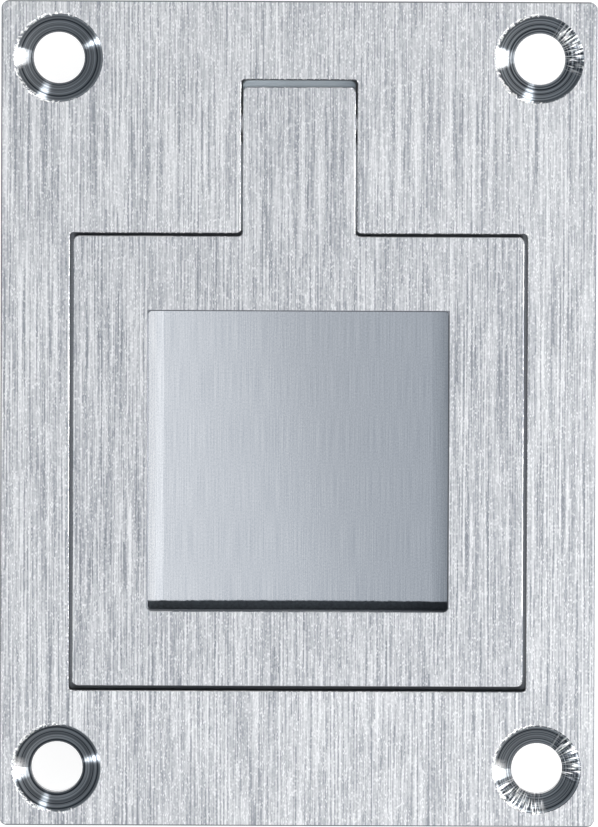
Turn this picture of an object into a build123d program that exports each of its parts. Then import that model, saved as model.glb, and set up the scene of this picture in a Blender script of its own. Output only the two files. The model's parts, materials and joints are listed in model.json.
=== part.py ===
from build123d import *
import os
from math import hypot

# Recessed ring pull with a square ring, lying face up: a cast face plate, a pull ring that
# lies flush in it, and the hinge pin. +Z points out of the face, +Y towards the hinge, and
# the origin is the middle of the four screw holes on the back of the flange. Millimetres.

# Pull ring: a square of flat bars with a stem that ends in the hinge
ring_side = 34.2
ring_bar_width = 5.7
ring_thick = 3.0
ring_corner_radius = 0.45
ring_opening_radius = 0.3
ring_back_break = 0.35
stem_width = 8.56
stem_length = 11.81
stem_corner_radius = 0.45
stem_root_radius = 0.3

# Hinge: the stem's tail reaches past the pin and turns down into a well. A little past upright
# its back meets the wall of the well, which stops the ring. The end of the tail is milled down
# a step, almost to the pin's axis, so that it swings clear of the face's edge.
pin_dia = 1.5
pin_far_seat = 5.5
pin_point_chamfer = 0.25
tail_length = 3.3
tail_step_length = 0.49
tail_step_depth = 1.4

# Clearances
ring_side_gap = 0.28
ring_top_gap = 0.22
ring_foot_gap = 0.35
ring_floor_gap = 0.1
stem_side_gap = 0.14
tail_swing_gap = 0.08
tail_floor_gap = 0.1
tail_back_gap = 0.15
eye_clearance = 0.05
pin_seat_clearance = 0.01
pin_end_gap = 0.2

# Flange: the borders of metal that are left round the pocket
flange_thick = 3.0
side_border = 5.22
foot_border = 10.27
head_border = 5.94
plate_corner_radius = 0.6
pocket_corner_radius = 0.3
edge_break = 0.05

# Countersunk screw holes, one in each corner
screw_inset = 4.35
screw_hole_dia = 3.9
countersink_dia = 6.7
countersink_angle = 90.0

# Finger cup under the ring's opening
cup_depth = 7.0
cup_side_undercut = 3.0
cup_head_undercut = 1.6
cup_foot_undercut = 3.3
cup_cove_radius = 5.0
cup_floor_radius = 60.0
cup_end_round = 1.0

# Walls of the casting behind the flange
pocket_wall = 1.8
pocket_floor_wall = 1.6
cup_wall = 1.4
well_wall = 1.4
back_round = 1.0
cup_back_round = 3.0

# Two places closer than this are the same place
same_place = 1e-4

# Heights, from the face down
face_z = flange_thick
ring_back_z = face_z - ring_thick
pin_z = face_z - ring_thick / 2
tail_step_z = face_z - tail_step_depth
pocket_floor_z = ring_back_z - ring_floor_gap
well_floor_z = pin_z - tail_length - tail_floor_gap
cup_floor_z = face_z - cup_depth

# The front corners of the tail reach furthest from the pin as the ring swings
tail_corner_reach = max(
    hypot(tail_length, tail_step_z - pin_z),
    hypot(tail_length - tail_step_length, face_z - pin_z),
)
slot_reach = tail_corner_reach + tail_swing_gap

# Plate size and the places along Y, from the foot of the plate up
pocket_width = ring_side + 2 * ring_side_gap
plate_width = pocket_width + 2 * side_border
plate_height = (
    foot_border + ring_foot_gap + ring_side + stem_length - tail_length + slot_reach + head_border
)
pocket_foot_y = foot_border - plate_height / 2
ring_foot_y = pocket_foot_y + ring_foot_gap
ring_top_y = ring_foot_y + ring_side
ring_centre_y = ring_foot_y + ring_side / 2
pocket_top_y = ring_top_y + ring_top_gap
stem_end_y = ring_top_y + stem_length
pin_y = stem_end_y - tail_length
slot_end_y = pin_y + slot_reach
slot_width = stem_width + 2 * stem_side_gap
opening_side = ring_side - 2 * ring_bar_width
cup_foot_y = ring_centre_y - opening_side / 2 - cup_foot_undercut
cup_top_y = ring_centre_y + opening_side / 2 + cup_head_undercut

# The pin's blind end is seated in the metal left of the slot
pin_blind_x = -slot_width / 2 - pin_far_seat


def rounded_area(x_min, x_max, y_min, y_max, radius):
    """A rectangle with round corners, given by its limits."""
    middle = Pos((x_min + x_max) / 2, (y_min + y_max) / 2)
    return middle * RectangleRounded(x_max - x_min, y_max - y_min, radius)


def prism(outline, z_min, z_max):
    """The outline as a solid between two heights."""
    return Pos(0, 0, z_min) * extrude(outline, z_max - z_min)


def rod_along_x(x_min, x_max, diameter):
    """A round bar on the hinge's axis."""
    turned = Pos((x_min + x_max) / 2, pin_y, pin_z) * Rot(0, 90, 0)
    return turned * Cylinder(diameter / 2, x_max - x_min)


def key_outline(half_width, foot_y, top_y, corner_radius, half_neck, end_y, end_radius, root_radius):
    """A square with a narrower neck towards the hinge, like the ring and its pocket."""
    square = rounded_area(-half_width, half_width, foot_y, top_y, corner_radius)
    neck_start_y = top_y - 2 * end_radius - root_radius
    neck = rounded_area(-half_neck, half_neck, neck_start_y, end_y, end_radius)
    outline = square + neck
    roots = [
        v for v in outline.vertices()
        if abs(v.Y - top_y) < same_place and abs(abs(v.X) - half_neck) < same_place
    ]
    return fillet(roots, root_radius)


def edges_at(shape, height):
    """The edges that lie flat at one height."""
    return shape.edges().filter_by_position(Axis.Z, height - same_place, height + same_place)


def ring_outline(end_y):
    """The outside of the ring, with the stem's end at the given place."""
    return key_outline(
        ring_side / 2, ring_foot_y, ring_top_y, ring_corner_radius,
        stem_width / 2, end_y, stem_corner_radius, stem_root_radius,
    )


def make_pull_ring():
    """The square ring with its stem, cast in one piece."""
    opening = Pos(0, ring_centre_y) * RectangleRounded(opening_side, opening_side, ring_opening_radius)
    ring = prism(ring_outline(stem_end_y) - opening, ring_back_z, tail_step_z)
    ring += prism(ring_outline(stem_end_y - tail_step_length) - opening, tail_step_z, face_z)
    ring = chamfer(edges_at(ring, face_z), edge_break)
    ring = chamfer(edges_at(ring, ring_back_z), ring_back_break)

    # Below the pin the tail's end is rounded about the pin
    tail_back = Pos(0, pin_y + tail_length, pin_z - ring_thick) * Box(
        2 * stem_width, 2 * tail_length, 2 * ring_thick
    )
    ring -= tail_back - rod_along_x(-2 * stem_width, 2 * stem_width, 2 * tail_length)
    return ring - rod_along_x(-stem_width, stem_width, pin_dia + 2 * eye_clearance)


def make_cup():
    """The finger cup's space: a slightly dished floor with a cove at each side, and plain ends."""
    half_width = opening_side / 2 + cup_side_undercut
    edge_z = cup_floor_z + cup_floor_radius - (cup_floor_radius**2 - half_width**2) ** 0.5
    floor_arc = ThreePointArc((-half_width, edge_z), (0, cup_floor_z), (half_width, edge_z))
    brim_z = face_z + cup_cove_radius
    sides = Polyline((half_width, edge_z), (half_width, brim_z), (-half_width, brim_z), (-half_width, edge_z))
    section = make_face([*floor_arc.edges(), *sides.edges()])
    section = fillet(section.vertices().sort_by(Axis.Y)[:2], cup_cove_radius)
    across = Plane(origin=(0, cup_top_y, 0), x_dir=(1, 0, 0), z_dir=(0, -1, 0))
    cup = extrude(across * section, cup_top_y - cup_foot_y)
    floor_ends = [e for e in cup.edges().filter_by(GeomType.CIRCLE) if e.bounding_box().size.Y < same_place]
    return fillet(floor_ends, cup_end_round)


def make_block(outline, back_z, edge_radius):
    """A block of the casting behind the flange, with its back edges rounded."""
    block = prism(outline, back_z, face_z)
    return fillet(edges_at(block, back_z), edge_radius)


def make_face_plate():
    """The flange, the ring's pocket, the hinge well and the finger cup in one casting."""
    flange = prism(RectangleRounded(plate_width, plate_height, plate_corner_radius), 0, face_z)
    pocket_outline = key_outline(
        pocket_width / 2, pocket_foot_y, pocket_top_y, pocket_corner_radius,
        slot_width / 2, slot_end_y, pocket_corner_radius, stem_root_radius,
    )
    pocket_block_outline = key_outline(
        pocket_width / 2 + pocket_wall, pocket_foot_y - pocket_wall, pocket_top_y + pocket_wall,
        pocket_corner_radius + pocket_wall, slot_width / 2 + pocket_wall, slot_end_y + pocket_wall,
        pocket_corner_radius + pocket_wall, stem_root_radius,
    )
    well_foot_y = pin_y - ring_thick / 2 - tail_back_gap
    well_outline = rounded_area(-slot_width / 2, slot_width / 2, well_foot_y, slot_end_y, pocket_corner_radius)
    well_block_outline = rounded_area(
        -slot_width / 2 - well_wall, slot_width / 2 + well_wall, well_foot_y - well_wall,
        slot_end_y + well_wall, pocket_corner_radius + well_wall,
    )
    cup_block_outline = rounded_area(
        -opening_side / 2 - cup_side_undercut - cup_wall, opening_side / 2 + cup_side_undercut + cup_wall,
        cup_foot_y - cup_wall, cup_top_y + cup_wall, cup_cove_radius,
    )

    plate = flange + make_block(pocket_block_outline, pocket_floor_z - pocket_floor_wall, back_round)
    plate += make_block(well_block_outline, well_floor_z - well_wall, back_round)
    plate += make_block(cup_block_outline, cup_floor_z - cup_wall, cup_back_round)
    plate -= prism(pocket_outline, pocket_floor_z, face_z)
    plate = chamfer(edges_at(plate, face_z), edge_break)
    plate -= prism(well_outline, well_floor_z, pin_z)
    plate -= make_cup()

    screw_x = plate_width / 2 - screw_inset
    screw_y = plate_height / 2 - screw_inset
    screw_hole = CounterSinkHole(
        screw_hole_dia / 2, countersink_dia / 2, 2 * flange_thick, countersink_angle, mode=Mode.PRIVATE
    )
    for x in (-screw_x, screw_x):
        for y in (-screw_y, screw_y):
            plate -= Pos(x, y, face_z) * screw_hole

    bore_dia = pin_dia + 2 * pin_seat_clearance
    return plate - rod_along_x(pin_blind_x - pin_end_gap, plate_width, bore_dia)


def make_hinge_pin():
    """A plain pin driven in from the plate's right edge and dressed flush with it."""
    pin = rod_along_x(pin_blind_x, plate_width / 2, pin_dia)
    return chamfer(pin.edges().sort_by(Axis.X)[0], pin_point_chamfer)


os.makedirs("parts", exist_ok=True)
export_step(make_face_plate(), "parts/face_plate.step")
export_step(make_pull_ring(), "parts/pull_ring.step")
export_step(make_hinge_pin(), "parts/hinge_pin.step")
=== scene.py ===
import bpy
import json
from math import cos, pi, radians, sin
from mathutils import Euler, Matrix, Vector


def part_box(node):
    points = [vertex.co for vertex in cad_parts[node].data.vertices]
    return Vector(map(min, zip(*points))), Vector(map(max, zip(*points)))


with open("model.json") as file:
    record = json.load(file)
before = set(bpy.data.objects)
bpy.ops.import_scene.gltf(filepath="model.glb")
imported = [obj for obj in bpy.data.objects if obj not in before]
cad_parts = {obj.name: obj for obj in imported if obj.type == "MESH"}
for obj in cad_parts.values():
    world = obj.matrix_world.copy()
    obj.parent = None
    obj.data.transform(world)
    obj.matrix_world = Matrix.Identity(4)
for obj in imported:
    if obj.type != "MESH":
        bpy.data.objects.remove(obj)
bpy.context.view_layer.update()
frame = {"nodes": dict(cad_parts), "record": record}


# Face plate.
# One steel casting: a flange with four countersunk holes, the ring's pocket and a finger cup.
# The face is brushed along its height on a belt, the countersinks are turned, the back is as cast.
MM = 0.001
plate_low, plate_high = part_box("face_plate")
face_z = plate_high.z

# The face's edges are broken down to edge_z, and what faces up by more than flat_up is level
edge_band = 0.07 * MM
edge_z = face_z - edge_band
flat_up = 0.95


def add_node(tree, kind, inputs=None, **settings):
    """Adds a node; a socket given as an input is linked, anything else is set as its value."""
    made = tree.nodes.new("ShaderNode" + kind)
    for name, value in settings.items():
        setattr(made, name, value)
    for name, value in (inputs or {}).items():
        if isinstance(value, bpy.types.NodeSocket):
            tree.links.new(value, made.inputs[name])
        else:
            made.inputs[name].default_value = value
    return made


def calc(tree, operation, *values):
    """A sum of one step, on numbers or sockets."""
    return add_node(tree, "Math", dict(enumerate(values)), operation=operation).outputs[0]


def calc_vector(tree, operation, *values):
    """A sum of one step, on vectors."""
    return add_node(tree, "VectorMath", dict(enumerate(values)), operation=operation).outputs[0]


def length_of(tree, vector):
    """How long a vector is."""
    return add_node(tree, "VectorMath", {0: vector}, operation="LENGTH").outputs["Value"]


def split(tree, vector):
    """The three parts of a vector."""
    return add_node(tree, "SeparateXYZ", {0: vector}).outputs


def join(tree, x, y, z):
    """A vector of three parts."""
    return add_node(tree, "CombineXYZ", {0: x, 1: y, 2: z}).outputs[0]


def span(tree, value, low, high, to_low=0.0, to_high=1.0):
    """Spreads the range from low to high over another range, and stays in it."""
    inputs = {"Value": value, "From Min": low, "From Max": high, "To Min": to_low, "To Max": to_high}
    return add_node(tree, "MapRange", inputs).outputs["Result"]


def over(tree, value, limit):
    """A mask for where a value is above a limit."""
    return calc(tree, "GREATER_THAN", value, limit)


def under(tree, value, limit):
    """A mask for where a value is below a limit."""
    return calc(tree, "LESS_THAN", value, limit)


def both(tree, one, other):
    """A mask for where two masks overlap."""
    return calc(tree, "MULTIPLY", one, other)


def either(tree, one, other):
    """A mask for where there is one of two masks, or both."""
    return calc(tree, "MAXIMUM", one, other)


def all_but(tree, mask):
    """A mask for everywhere that another mask leaves free."""
    return calc(tree, "SUBTRACT", 1.0, mask)


def blend(tree, mask, below, above):
    """One value or the other, by a mask."""
    return add_node(tree, "Mix", {"Factor": mask, "A": below, "B": above}).outputs["Result"]


def blend_colour(tree, mask, below, above):
    """One colour or the other, by a mask; sockets 6 and 7 of the node are its two colours."""
    return add_node(tree, "Mix", {0: mask, 6: below, 7: above}, data_type="RGBA").outputs[2]


def blend_vector(tree, mask, below, above):
    """One direction or the other, by a mask; sockets 4 and 5 of the node are its two vectors."""
    return add_node(tree, "Mix", {0: mask, 4: below, 5: above}, data_type="VECTOR").outputs[1]


def speckle(tree, position, size, detail=0.0):
    """Noise with marks of one size, in metres."""
    inputs = {"Vector": position, "Scale": 1 / size, "Detail": detail}
    return add_node(tree, "TexNoise", inputs).outputs["Fac"]


def grain(tree, position, width, length, detail=0.0):
    """Noise whose marks are as wide across X, and as long along Y, as the sizes given in metres."""
    stretched = calc_vector(tree, "MULTIPLY", position, (1 / width, 1 / length, 0.0))
    return speckle(tree, stretched, 1.0, detail)


def dashes(tree, x, y, width, length, seed):
    """Dashes of one width side by side along Y, each lighter or darker by chance, from 0 to 1."""
    most_rows_apart = 97.0
    column = calc(tree, "FLOOR", calc(tree, "MULTIPLY_ADD", x, 1 / width, seed))
    chance = add_node(tree, "TexWhiteNoise", {"W": column}, noise_dimensions="1D").outputs["Value"]
    row = calc(tree, "MULTIPLY_ADD", chance, most_rows_apart, calc(tree, "DIVIDE", y, length))
    cell = join(tree, column, calc(tree, "FLOOR", row), 0.0)
    return add_node(tree, "TexWhiteNoise", {"Vector": cell}, noise_dimensions="2D").outputs["Value"]


def new_group(name, inputs, outputs):
    """An empty node group with its named sockets."""
    group = bpy.data.node_groups.new(name, "ShaderNodeTree")
    for label, kind in inputs.items():
        group.interface.new_socket(label, in_out="INPUT", socket_type="NodeSocket" + kind)
    for label, kind in outputs.items():
        group.interface.new_socket(label, in_out="OUTPUT", socket_type="NodeSocket" + kind)
    return group, group.nodes.new("NodeGroupInput").outputs, group.nodes.new("NodeGroupOutput").inputs


def use_group(tree, group, inputs):
    """Places a group in a material and gives its outputs."""
    return add_node(tree, "Group", inputs, node_tree=group).outputs


# Inside a box: a mask for the space that a pocket or a cup takes up, and how far each point of
# the face is from the outline of that space
box_group, given, result = new_group(
    "Inside a box",
    {"Position": "Vector", "Middle": "Vector", "Half": "Vector"},
    {"Mask": "Float", "From outline": "Float"},
)
offset = calc_vector(box_group, "SUBTRACT", given["Position"], given["Middle"])
offset = calc_vector(box_group, "ABSOLUTE", offset)
room = split(box_group, calc_vector(box_group, "SUBTRACT", given["Half"], offset))
on_plan = calc(box_group, "MINIMUM", room[0], room[1])
least = calc(box_group, "MINIMUM", on_plan, room[2])
box_group.links.new(over(box_group, least, 0.0), result["Mask"])
box_group.links.new(calc(box_group, "ABSOLUTE", on_plan), result["From outline"])


def inside_box(tree, position, middle, half):
    """Places the group for one box, given by its middle and half its size."""
    return use_group(tree, box_group, {"Position": position, "Middle": middle, "Half": half})


# Belt brushing: long fine scratches, shorter ones over them, white flecks where the grit tore
# the metal, and slow bands where the belt bore harder; the ends are ground along their own length
end_facing = 0.7
brush_depth = 0.005 * MM
fleck_from = 0.86
fleck_mean = (1.0 - fleck_from) / 2
brush_group, given, result = new_group(
    "Belt brushing", {"Position": "Vector", "Normal": "Vector"}, {"Shade": "Float", "Height": "Float"}
)
place = split(brush_group, given["Position"])
facing = split(brush_group, given["Normal"])
sideways = calc(brush_group, "ABSOLUTE", facing[0])
at_end = over(brush_group, calc(brush_group, "ABSOLUTE", facing[1]), end_facing)
across = calc(brush_group, "MULTIPLY_ADD", place[2], sideways, place[0])
across = blend(brush_group, at_end, across, place[2])
along = blend(brush_group, at_end, place[1], place[0])
on_belt = join(brush_group, across, along, 0.0)
long_scratch = grain(brush_group, on_belt, width=0.14 * MM, length=14.0 * MM)
scratch = dashes(brush_group, across, along, width=0.09 * MM, length=3.2 * MM, seed=0.3)
short_scratch = dashes(brush_group, across, along, width=0.1 * MM, length=0.8 * MM, seed=40.7)
torn = dashes(brush_group, across, along, width=0.08 * MM, length=0.15 * MM, seed=80.1)
band = grain(brush_group, on_belt, width=2.2 * MM, length=70 * MM, detail=2.0)
fleck = span(brush_group, torn, fleck_from, 1.0)
shade = 0.5
for mark, weight, mean in (
    (long_scratch, 1.25, 0.5),
    (scratch, 0.42, 0.5),
    (short_scratch, 0.26, 0.5),
    (torn, 0.26, 0.5),
    (band, 0.4, 0.5),
    (fleck, 0.4, fleck_mean),
):
    shade = calc(brush_group, "MULTIPLY_ADD", calc(brush_group, "SUBTRACT", mark, mean), weight, shade)
brush_group.links.new(shade, result["Shade"])
brush_group.links.new(calc(brush_group, "MULTIPLY", long_scratch, brush_depth), result["Height"])

# Turned finish: rings left by the countersinking tool, and a fan of chatter lines with painted highlights
groove_width = 0.17 * MM
groove_depth = 0.003 * MM
groove_contrast, groove_level = 3.0, 0.45
fan_lines = 23.0
fan_length = 1.0 * MM
fan_depth = 0.08 * MM
fan_dark_full, fan_dark_end = 0.38, 0.5
fan_darkening = -0.4
fan_highlight_start, fan_highlight_full = 0.52, 0.65
turned_group, given, result = new_group(
    "Turned rings",
    {"From axis": "Vector", "Seed": "Float", "Chatter": "Float"},
    {"Shade": "Float", "Fan highlight": "Float", "Height": "Float"},
)
radius = length_of(turned_group, given["From axis"])
outward = calc_vector(turned_group, "NORMALIZE", given["From axis"])
groove_place = calc(turned_group, "MULTIPLY_ADD", radius, 1 / groove_width, given["Seed"])
groove_inputs = {"W": groove_place, "Scale": 1.0, "Detail": 1.0}
groove = add_node(turned_group, "TexNoise", groove_inputs, noise_dimensions="1D").outputs["Fac"]
rings = calc(turned_group, "SUBTRACT", groove, 0.5)
rings = calc(turned_group, "MULTIPLY_ADD", rings, groove_contrast, groove_level)
fan_place = split(turned_group, calc_vector(turned_group, "MULTIPLY", outward, (fan_lines, fan_lines, 0.0)))
fan_reach = calc(turned_group, "MULTIPLY_ADD", radius, 1 / fan_length, given["Seed"])
fan = speckle(turned_group, join(turned_group, fan_place[0], fan_place[1], fan_reach), 1.0, detail=1.0)
fan_dark = span(turned_group, fan, fan_dark_full, fan_dark_end, fan_darkening, 0.0)
fan_dark = both(turned_group, fan_dark, given["Chatter"])
# The bright fan lines are a painted highlight on the chatter marks
fan_highlight = span(turned_group, fan, fan_highlight_start, fan_highlight_full)
fan_highlight = both(turned_group, fan_highlight, given["Chatter"])
fan_height = both(turned_group, calc(turned_group, "MULTIPLY", fan, fan_depth), given["Chatter"])
turned_height = calc(turned_group, "MULTIPLY_ADD", groove, groove_depth, fan_height)
turned_group.links.new(calc(turned_group, "ADD", rings, fan_dark), result["Shade"])
turned_group.links.new(fan_highlight, result["Fan highlight"])
turned_group.links.new(turned_height, result["Height"])

# Cast skin: a fine grit with soft stains
grit_size, grit_weight = 0.35 * MM, 1.6
stain_size, stain_weight = 9 * MM, 1.2
cast_detail = 3.0
cast_level = -0.9
cast_depth = 0.05 * MM
cast_group, given, result = new_group(
    "Cast skin", {"Position": "Vector"}, {"Shade": "Float", "Height": "Float"}
)
grit = speckle(cast_group, given["Position"], grit_size, cast_detail)
stain = speckle(cast_group, given["Position"], stain_size, cast_detail)
stained = calc(cast_group, "MULTIPLY_ADD", stain, stain_weight, cast_level)
stained = calc(cast_group, "MULTIPLY_ADD", grit, grit_weight, stained)
cast_group.links.new(stained, result["Shade"])
cast_group.links.new(calc(cast_group, "MULTIPLY", grit, cast_depth), result["Height"])


def start_steel(name):
    """A new steel material with its shader, and the place and facing of each point on the piece."""
    steel = bpy.data.materials.new(name)
    steel.use_nodes = True
    tree = steel.node_tree
    shader = tree.nodes["Principled BSDF"]
    shader.inputs["Metallic"].default_value = 1.0
    shader.inputs["Anisotropic"].default_value = 1.0
    where = add_node(tree, "TexCoord").outputs
    return steel, tree, shader, where["Object"], where["Normal"]


lengthways = (0.0, 1.0, 0.0)
crossways = (1.0, 0.0, 0.0)
upwards = (0.0, 0.0, 1.0)


def across_lines(tree, normal, lines):
    """The direction on the surface at right angles to lines that run along one axis. A slight push aside
    gives it a length where the surface faces along the lines too."""
    push = 0.01
    aside = Vector((lines[1], lines[0], lines[2]))
    square = calc_vector(tree, "CROSS_PRODUCT", lines, normal)
    return calc_vector(tree, "ADD", square, aside * push)


def mill_lines(tree, place):
    """The fine lines of a cutter that ran crossways."""
    turned_place = join(tree, place[1], place[0], 0.0)
    return grain(tree, turned_place, width=0.15 * MM, length=9 * MM, detail=1.0)


brushed_dull, brushed_bright = 0.38, 0.28
dull_shade, bright_shade = 0.1, 0.9
torn_roughness = 0.45
torn_shade_start, torn_shade_full = 0.35, 0.65
edge_dark = (0.24, 0.255, 0.28, 1.0)
edge_light = (0.68, 0.685, 0.69, 1.0)
# Edges facing the foot get a painted shade colour
foot_facing = -0.5
edge_shade_colour = (0.16, 0.17, 0.19, 1.0)


def brushed_face(tree, place, normal, shade, dark, light):
    """The colour, roughness and tangent of the brushed face; broken edges keep torn scratch ends, and those
    towards the foot are darkened as painted shade."""
    facing = split(tree, normal)
    on_edge = both(tree, over(tree, place[2], edge_z), under(tree, facing[2], flat_up))
    foot_shade = under(tree, facing[1], foot_facing)
    torn_end = span(tree, shade, torn_shade_start, torn_shade_full)
    torn_edge = blend_colour(tree, torn_end, edge_dark, edge_light)
    torn_edge = blend_colour(tree, foot_shade, torn_edge, edge_shade_colour)
    colour = blend_colour(tree, on_edge, blend_colour(tree, shade, dark, light), torn_edge)
    roughness = span(tree, shade, dull_shade, bright_shade, brushed_dull, brushed_bright)
    roughness = blend(tree, on_edge, roughness, torn_roughness)
    tangent = blend_vector(tree, on_edge, across_lines(tree, normal, lengthways), upwards)
    return colour, roughness, tangent


def finish_steel(node, steel, shader, colour, roughness, tangent, height):
    """Links a finish to the shader, with a tangent that turns with the piece, and puts it on the piece."""
    tree = steel.node_tree
    tree.links.new(colour, shader.inputs["Base Color"])
    tree.links.new(roughness, shader.inputs["Roughness"])
    turned_with = add_node(
        tree, "VectorTransform", {0: tangent}, vector_type="VECTOR", convert_from="OBJECT", convert_to="WORLD"
    )
    tree.links.new(turned_with.outputs[0], shader.inputs["Tangent"])
    bump = add_node(tree, "Bump", {"Height": height, "Distance": 1.0, "Strength": 1.0})
    tree.links.new(bump.outputs[0], shader.inputs["Normal"])
    frame["nodes"][node].data.materials.clear()
    frame["nodes"][node].data.materials.append(steel)


brushed_dark = (0.23, 0.244, 0.27, 1.0)
brushed_light = (0.695, 0.70, 0.712, 1.0)
plate_steel, tree, shader, position, normal = start_steel("Plate steel")
place = split(tree, position)
facing = split(tree, normal)
brushed = use_group(tree, brush_group, {"Position": position, "Normal": normal})
colour, roughness, tangent = brushed_face(
    tree, place, normal, brushed["Shade"], brushed_dark, brushed_light
)
height = brushed["Height"]

# The spaces sunk into the plate, each a middle and half a size. They are drawn a little larger than
# they are, so that their walls lie inside.
cup_middle = Vector((0, -4.45, -2.12)) * MM
cup_half = Vector((14.6, 14.1, 2.0)) * MM
pocket_middle = Vector((0, -3.65, 1.39)) * MM
pocket_half = Vector((17.5, 17.5, 1.54)) * MM
slot_middle = Vector((0, 18.0, 0.45)) * MM
slot_half = Vector((4.5, 7.5, 2.47)) * MM
in_cup = inside_box(tree, position, cup_middle, cup_half)["Mask"]
in_pocket = inside_box(tree, position, pocket_middle, pocket_half)["Mask"]
in_slot = inside_box(tree, position, slot_middle, slot_half)["Mask"]
milled = either(tree, in_pocket, in_slot)

# Below the face, inside the pocket, the tool ran crossways
pocket_foot_z = pocket_middle.z - pocket_half.z
sunk = both(tree, under(tree, place[2], edge_z), over(tree, place[2], pocket_foot_z))
sunk = both(tree, sunk, under(tree, calc(tree, "ABSOLUTE", place[0]), pocket_half.x))
tangent = blend_vector(tree, sunk, tangent, across_lines(tree, normal, crossways))

# The outer edges are broken by hand and darkened as painted shade
any_height = 9 * MM
outer_edge_width = 0.085 * MM
outer_edge_shade_colour = (0.15, 0.158, 0.172, 1.0)
inner_half = Vector((plate_high.x - outer_edge_width, plate_high.y - outer_edge_width, any_height))
within = inside_box(tree, position, (0, 0, 0), inner_half)["Mask"]
outer_edge_shade = both(tree, all_but(tree, within), over(tree, place[2], edge_z))
colour = blend_colour(tree, outer_edge_shade, colour, outer_edge_shade_colour)

# The countersinks, each turned about its own hole, darkened as painted shade, with a painted highlight
# on the left; the tool chattered on one side of the right-hand pair, and on another side of the lower one too
screw_holes = frame["record"]["mounts"][0]["dims"]
screw_x = screw_holes["spacing_x_mm"] / 2 * MM
screw_y = screw_holes["spacing_y_mm"] / 2 * MM
rim_radius = 3.35 * MM
seed_across, seed_along = 3.7, 9.1
chatter_angle, lower_chatter_angle = 20, 240
chatter_full, chatter_end = 32, 44
# Where each countersink gets its painted highlight, on the left
highlight_angle, highlight_full, highlight_end = 180, 4, 17
highlight_from, highlight_to = 2.2 * MM, 2.9 * MM
highlight_most = 0.75
highlight_patch_start, highlight_patch_full = 0.3, 0.5
ragged_size = 0.2 * MM
turned_roughness = 0.34
# The countersinks' dark colours are painted shade
turned_shade_dark = (0.035, 0.042, 0.052, 1.0)
turned_shade_light = (0.33, 0.36, 0.39, 1.0)
# A near-white for torn flecks and burrs, and for the painted highlights in the countersinks
wear_and_highlight_white = (0.93, 0.93, 0.93, 1.0)
right_side = calc(tree, "SIGN", place[0])
upper_side = calc(tree, "SIGN", place[1])
from_hole = join(
    tree,
    calc(tree, "MULTIPLY_ADD", right_side, -screw_x, place[0]),
    calc(tree, "MULTIPLY_ADD", upper_side, -screw_y, place[1]),
    0.0,
)
hole_seed = calc(tree, "MULTIPLY", upper_side, seed_along)
hole_seed = calc(tree, "MULTIPLY_ADD", right_side, seed_across, hole_seed)
hole_radius = length_of(tree, from_hole)
outward = calc_vector(tree, "NORMALIZE", from_hole)


def hole_side(tree, angle, full, end):
    """A mask for one side of a hole: full up to one angle off the middle of it, and faded out at another."""
    side = (cos(radians(angle)), sin(radians(angle)), 0.0)
    shared = add_node(tree, "VectorMath", {0: outward, 1: side}, operation="DOT_PRODUCT").outputs["Value"]
    return span(tree, shared, cos(radians(end)), cos(radians(full)))


on_lower = span(tree, upper_side, -1.0, 1.0, 1.0, 0.0)
on_right = span(tree, right_side, -1.0, 1.0)
lower_chatter = both(tree, hole_side(tree, lower_chatter_angle, chatter_full, chatter_end), on_lower)
chatter = either(tree, hole_side(tree, chatter_angle, chatter_full, chatter_end), lower_chatter)
chatter = both(tree, chatter, on_right)
turned = use_group(tree, turned_group, {"From axis": from_hole, "Seed": hole_seed, "Chatter": chatter})
turned_colour = blend_colour(tree, turned["Shade"], turned_shade_dark, turned_shade_light)
# The chatter's bright lines are painted white as a highlight
turned_colour = blend_colour(tree, turned["Fan highlight"], turned_colour, wear_and_highlight_white)
ragged = speckle(tree, position, ragged_size, detail=2.0)
# The bright patch on the left of each countersink is a painted highlight
painted_highlight = span(tree, ragged, highlight_patch_start, highlight_patch_full)
painted_highlight = both(tree, hole_side(tree, highlight_angle, highlight_full, highlight_end), painted_highlight)
painted_highlight = both(tree, painted_highlight, span(tree, hole_radius, highlight_from, highlight_to, 0.0, highlight_most))
turned_colour = blend_colour(tree, painted_highlight, turned_colour, wear_and_highlight_white)
in_hole = both(tree, under(tree, hole_radius, rim_radius + edge_band), under(tree, facing[2], flat_up))
colour = blend_colour(tree, in_hole, colour, turned_colour)
roughness = blend(tree, in_hole, roughness, turned_roughness)
height = blend(tree, in_hole, height, turned["Height"])
tangent = blend_vector(tree, in_hole, tangent, outward)

# Round the pocket and the slot the belt left bright torn flecks along the edge
pocket_edge_middle = Vector((0, -3.67, 0)) * MM
pocket_edge_half = Vector((17.38 * MM, 17.385 * MM, any_height))
slot_edge_middle = Vector((0, 18.385, 0)) * MM
slot_edge_half = Vector((4.42 * MM, 7.0 * MM, any_height))
fleck_near, fleck_far = 0.04 * MM, 0.16 * MM
fleck_start, fleck_full = 0.52, 0.62
from_pocket = inside_box(tree, position, pocket_edge_middle, pocket_edge_half)["From outline"]
from_slot = inside_box(tree, position, slot_edge_middle, slot_edge_half)["From outline"]
near_gap = span(tree, calc(tree, "MINIMUM", from_pocket, from_slot), fleck_near, fleck_far, 1.0, 0.0)
edge_fleck = span(tree, both(tree, ragged, near_gap), fleck_start, fleck_full)
edge_fleck = both(tree, edge_fleck, over(tree, place[2], edge_z))
colour = blend_colour(tree, edge_fleck, colour, wear_and_highlight_white)

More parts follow.
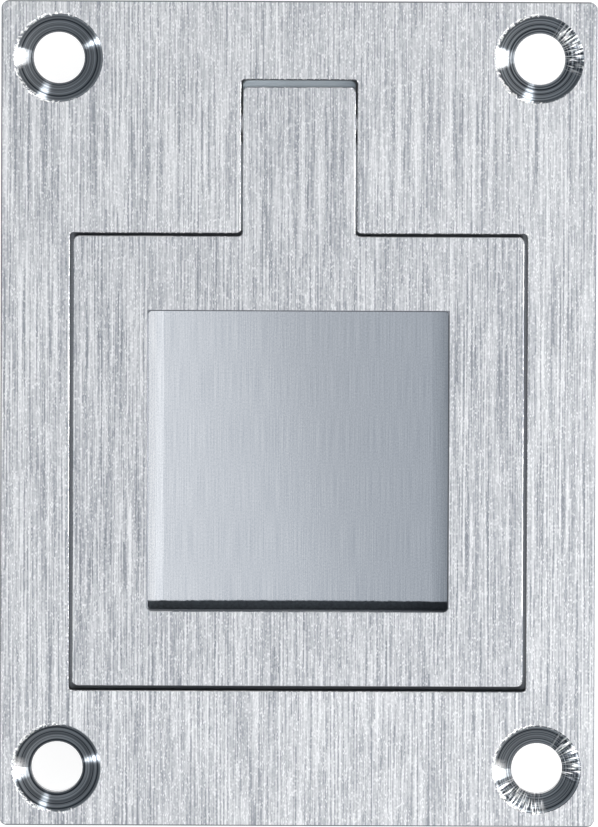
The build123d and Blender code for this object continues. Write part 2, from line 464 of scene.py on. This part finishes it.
# A ragged burr left on the rim by the countersink, painted white, stronger on the left as painted highlight
burr_near, burr_far = 0.08 * MM, 0.4 * MM
burr_turn = 0.5
burr_right_share = 0.72
burr_start, burr_full = 0.46, 0.55
burr_reach = 0.28 * MM
burr_depth = 0.06 * MM
from_rim = calc(tree, "ABSOLUTE", calc(tree, "SUBTRACT", hole_radius, rim_radius))
near_rim = span(tree, from_rim, burr_near, burr_far, 1.0, 0.0)
left_highlight_share = span(tree, split(tree, outward)[0], -burr_turn, burr_turn, 1.0, burr_right_share)
burr_and_highlight = span(tree, both(tree, ragged, both(tree, near_rim, left_highlight_share)), burr_start, burr_full)
burr_and_highlight = both(tree, burr_and_highlight, over(tree, place[2], face_z - burr_reach))
colour = blend_colour(tree, burr_and_highlight, colour, wear_and_highlight_white)
height = calc(tree, "MULTIPLY_ADD", burr_and_highlight, burr_depth, height)

# The finger cup is satin, with fine lines that run the same way as the brushing, and fine specks
cup_line_depth = 0.0025 * MM
cup_roughness = 0.14
speck_weight = 0.9
satin_dark = (0.35, 0.375, 0.413, 1.0)
satin_light = (0.49, 0.51, 0.54, 1.0)
fine_line = grain(tree, position, width=0.07 * MM, length=4 * MM)
speck = grain(tree, position, width=0.09 * MM, length=0.14 * MM)
satin = calc(tree, "MULTIPLY_ADD", calc(tree, "SUBTRACT", speck, 0.5), speck_weight, fine_line)
colour = blend_colour(tree, in_cup, colour, blend_colour(tree, satin, satin_dark, satin_light))
roughness = blend(tree, in_cup, roughness, cup_roughness)
height = blend(tree, in_cup, height, calc(tree, "MULTIPLY", fine_line, cup_line_depth))

# The floor at the foot of the cup, under the foot bar, is darkened as painted shade
cup_shade_y = -14.47 * MM
shade_fade = 0.05 * MM
shade_ragged = 0.15 * MM
cast_roughness = 0.62
cup_shade_dark = (0.085, 0.1, 0.119, 1.0)
cup_shade_light = (0.22, 0.25, 0.285, 1.0)
shade_place = calc(tree, "MULTIPLY_ADD", ragged, shade_ragged, place[1])
painted_foot_shade = span(tree, shade_place, cup_shade_y - shade_fade, cup_shade_y + shade_fade, 1.0, 0.0)
painted_foot_shade = both(tree, painted_foot_shade, in_cup)
colour = blend_colour(tree, painted_foot_shade, colour, blend_colour(tree, ragged, cup_shade_dark, cup_shade_light))
roughness = blend(tree, painted_foot_shade, roughness, cast_roughness)

# Pocket, slot and well are milled crossways; the pocket is darkened as painted shade, slot and well are
# lighter
mill_depth = 0.003 * MM
milled_roughness = 0.30
pocket_shade_dark = (0.15, 0.162, 0.18, 1.0)
pocket_shade_light = (0.28, 0.293, 0.312, 1.0)
slot_dark = (0.38, 0.41, 0.44, 1.0)
slot_light = (0.58, 0.61, 0.64, 1.0)
mill_line = mill_lines(tree, place)
colour = blend_colour(tree, in_slot, colour, blend_colour(tree, mill_line, slot_dark, slot_light))
colour = blend_colour(tree, in_pocket, colour, blend_colour(tree, mill_line, pocket_shade_dark, pocket_shade_light))
roughness = blend(tree, milled, roughness, milled_roughness)
height = blend(tree, milled, height, calc(tree, "MULTIPLY", mill_line, mill_depth))

# Behind the flange, whose back is at zero, the casting keeps its skin
flange_back_z = 0.01 * MM
cast_dark = (0.29, 0.30, 0.315, 1.0)
cast_light = (0.50, 0.51, 0.52, 1.0)
cast = use_group(tree, cast_group, {"Position": position})
behind = both(tree, under(tree, place[2], flange_back_z), all_but(tree, either(tree, in_cup, milled)))
colour = blend_colour(tree, behind, colour, blend_colour(tree, cast["Shade"], cast_dark, cast_light))
roughness = blend(tree, behind, roughness, cast_roughness)
height = blend(tree, behind, height, cast["Height"])
finish_steel("face_plate", plate_steel, shader, colour, roughness, tangent, height)


# Hinge pin.
# A short length of drawn steel wire that carries the ring's stem. It is driven in from the right
# edge of the plate and dressed flush with it.
pin_low, pin_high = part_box("hinge_pin")
pin_middle = (pin_low + pin_high) / 2
pin_seed = 2.0
pin_chatter = 0.1
pin_dark = (0.40, 0.41, 0.43, 1.0)
pin_light = (0.68, 0.69, 0.71, 1.0)
pin_steel, tree, shader, position, normal = start_steel("Pin steel")
place = split(tree, calc_vector(tree, "SUBTRACT", position, pin_middle))
from_axis = join(tree, place[1], place[2], 0.0)
dressed = use_group(tree, turned_group, {"From axis": from_axis, "Seed": pin_seed, "Chatter": pin_chatter})
colour = blend_colour(tree, dressed["Shade"], pin_dark, pin_light)
roughness = span(tree, dressed["Shade"], 0.0, 1.0, brushed_dull, brushed_bright)
tangent = across_lines(tree, normal, crossways)
finish_steel("hinge_pin", pin_steel, shader, colour, roughness, tangent, dressed["Height"])


# Pull ring.
# A square ring and its stem in one steel casting, brushed on its face together with the plate.
# The outer sides are ground, inside and back are skin darkened as painted shade, the stem's end is milled.
streak_shift = Vector((7.3, 2.9, 0.0)) * MM
ring_dark = (0.208, 0.222, 0.248, 1.0)
ring_light = (0.655, 0.661, 0.675, 1.0)
ring_steel, tree, shader, position, normal = start_steel("Ring steel")
place = split(tree, position)
facing = split(tree, normal)
shifted = calc_vector(tree, "ADD", position, streak_shift)
brushed = use_group(tree, brush_group, {"Position": shifted, "Normal": normal})
colour, roughness, tangent = brushed_face(
    tree, place, normal, brushed["Shade"], ring_dark, ring_light
)
height = brushed["Height"]

# The edge of the opening is darkened as painted shade, apart from the foot bar's
opening_middle = Vector((0, -3.6, 1.5)) * MM
opening_edge_half = Vector((11.4, 11.4, 1.6)) * MM
opening_shade_width = 0.085 * MM
foot_bar_y = -14.8 * MM
below_face = under(tree, place[2], edge_z)
from_opening = inside_box(tree, position, opening_middle, opening_edge_half)["From outline"]
opening_edge_shade = both(tree, under(tree, from_opening, opening_shade_width), all_but(tree, below_face))
opening_edge_shade = both(tree, opening_edge_shade, over(tree, place[1], foot_bar_y))
colour = blend_colour(tree, opening_edge_shade, colour, edge_shade_colour)

# Sides, with a skin darkened as painted shade inside the opening and behind
opening_half = Vector((11.6, 11.6, 1.6)) * MM
back_facing = -0.5
side_roughness = 0.42
side_dark = (0.18, 0.194, 0.215, 1.0)
side_light = (0.30, 0.314, 0.336, 1.0)
skin_shade_dark = (0.06, 0.066, 0.075, 1.0)
skin_shade_light = (0.15, 0.16, 0.173, 1.0)
in_opening = inside_box(tree, position, opening_middle, opening_half)["Mask"]
behind = under(tree, facing[2], back_facing)
skin_and_shade = either(tree, both(tree, below_face, in_opening), behind)
cast = use_group(tree, cast_group, {"Position": position})
colour = blend_colour(tree, below_face, colour, blend_colour(tree, brushed["Shade"], side_dark, side_light))
colour = blend_colour(tree, skin_and_shade, colour, blend_colour(tree, cast["Shade"], skin_shade_dark, skin_shade_light))
roughness = blend(tree, below_face, roughness, side_roughness)
roughness = blend(tree, skin_and_shade, roughness, cast_roughness)
height = blend(tree, skin_and_shade, height, cast["Height"])

# The skin, darkened as painted shade, has no gloss
tree.links.new(all_but(tree, skin_and_shade), shader.inputs["Metallic"])
shader.inputs["Specular IOR Level"].default_value = 0.0

# The step at the end of the stem
step_dark = (0.37, 0.418, 0.46, 1.0)
step_light = (0.443, 0.49, 0.53, 1.0)
on_step = both(tree, over(tree, facing[2], flat_up), below_face)
step_colour = blend_colour(tree, mill_lines(tree, place), step_dark, step_light)
colour = blend_colour(tree, on_step, colour, step_colour)
finish_steel("pull_ring", ring_steel, shader, colour, roughness, tangent, height)


# Floor.
# A pale painted table top that the pull lies on, face up.
# Its own glow makes it read white through the screw holes.
floor_size = 6.0
floor_glow = 0.8
floor_roughness = 0.9
floor_colour = (0.3, 0.3, 0.3, 1.0)
glow_colour = (1.0, 1.0, 1.0, 1.0)
floor_mesh = bpy.data.meshes.new("floor")
corners = [(-1, -1), (1, -1), (1, 1), (-1, 1)]
floor_mesh.from_pydata(
    [(x * floor_size / 2, y * floor_size / 2, plate_low.z) for x, y in corners], [], [(0, 1, 2, 3)]
)
floor = bpy.data.objects.new("floor", floor_mesh)
bpy.context.collection.objects.link(floor)
floor_paint = bpy.data.materials.new("Floor paint")
floor_paint.use_nodes = True
tree = floor_paint.node_tree
shader = tree.nodes["Principled BSDF"]
shader.inputs["Base Color"].default_value = floor_colour
shader.inputs["Roughness"].default_value = floor_roughness
shader.inputs["Emission Color"].default_value = glow_colour
ray = add_node(tree, "LightPath").outputs
seen = either(tree, ray["Is Glossy Ray"], ray["Is Transmission Ray"])
seen = either(tree, seen, ray["Is Camera Ray"])
tree.links.new(calc(tree, "MULTIPLY", seen, floor_glow), shader.inputs["Emission Strength"])
floor_mesh.materials.append(floor_paint)


# Studio light.
# A pale tent, dimmer near the ground, dimmer and cooler on the left. Soft boxes hang over the foot and
# the right, a small bright one stands low on the right, and two low strips light the countersinks.
tent_cool = (0.925, 0.985, 1.045, 1.0)
tent_warm = (0.995, 0.985, 0.98, 1.0)
tint_reach = 0.6
tent_ground, tent_top = 0.42, 0.93
tent_top_rise = 0.6
tent_left_share = 0.55
tent_left_full, tent_left_end = -0.8, -0.3
world = bpy.data.worlds.new("Studio")
bpy.context.scene.world = world
world.use_nodes = True
tree = world.node_tree
direction = split(tree, add_node(tree, "TexCoord").outputs["Generated"])
tent_light = both(
    tree,
    span(tree, direction[2], 0.0, tent_top_rise, tent_ground, tent_top),
    span(tree, direction[0], tent_left_full, tent_left_end, tent_left_share, 1.0),
)
tent_tint = span(tree, direction[0], -tint_reach, tint_reach)
background = tree.nodes["Background"]
tree.links.new(blend_colour(tree, tent_tint, tent_cool, tent_warm), background.inputs["Color"])
tree.links.new(tent_light, background.inputs["Strength"])


def soft_box(name, azimuth, elevation, distance, width, depth, radiance, colour=(1.0, 1.0, 1.0)):
    """A lamp that faces the plate, set by its direction as seen from the plate, in degrees."""
    lamp = bpy.data.lights.new(name, "AREA")
    lamp.color = colour
    lamp.shape = "RECTANGLE"
    lamp.size = width
    lamp.size_y = depth
    lamp.energy = radiance * width * depth * pi
    box = bpy.data.objects.new(name, lamp)
    bpy.context.collection.objects.link(box)
    turn, rise = radians(azimuth), radians(elevation)
    towards = Vector((cos(turn) * cos(rise), sin(turn) * cos(rise), sin(rise)))
    box.location = Vector((0, 0, face_z)) + towards * distance
    sideways = Vector((-sin(turn), cos(turn), 0))
    axes = Matrix((sideways, towards.cross(sideways), towards)).transposed()
    box.rotation_euler = axes.to_euler()
    box.visible_camera = False


warm_white = (1.0, 0.975, 0.94)
soft_box("near box", azimuth=-55, elevation=66, distance=0.26, width=0.22, depth=0.20, radiance=0.38)
soft_box(
    "right middle box", azimuth=0, elevation=52.5, distance=0.5, width=0.50, depth=0.32, radiance=0.72,
    colour=warm_white,
)
soft_box("right low box", azimuth=0, elevation=8, distance=0.45, width=0.19, depth=0.12, radiance=40.0)
soft_box("left strip", azimuth=200, elevation=8, distance=0.5, width=0.05, depth=0.12, radiance=90.0)
soft_box("head strip", azimuth=70, elevation=8, distance=0.5, width=0.10, depth=0.12, radiance=50.0)


# Camera.
# A long lens nearly square to the face, a little towards the hinge and turned by a hair.
# The plate fills the picture.
frame_height = 827
view_distance = 1.0
view_end = 10.0
pixel = 0.0759 * MM
lens_sensor = 36.0
aim = Vector((0.064 * MM, 0.05 * MM, face_z))
camera_lean = radians(2.27)
camera_roll = radians(0.22)
camera_data = bpy.data.cameras.new("camera")
camera_data.sensor_width = lens_sensor
camera_data.lens = lens_sensor * view_distance / (frame_height * pixel)
camera_data.clip_end = view_end
camera = bpy.data.objects.new("camera", camera_data)
bpy.context.collection.objects.link(camera)
turn = Euler((-camera_lean, 0, camera_roll))
camera.location = aim + turn.to_matrix() @ Vector((0, 0, view_distance))
camera.rotation_euler = turn
bpy.context.scene.camera = camera
bpy.context.scene.view_settings.view_transform = "Standard"
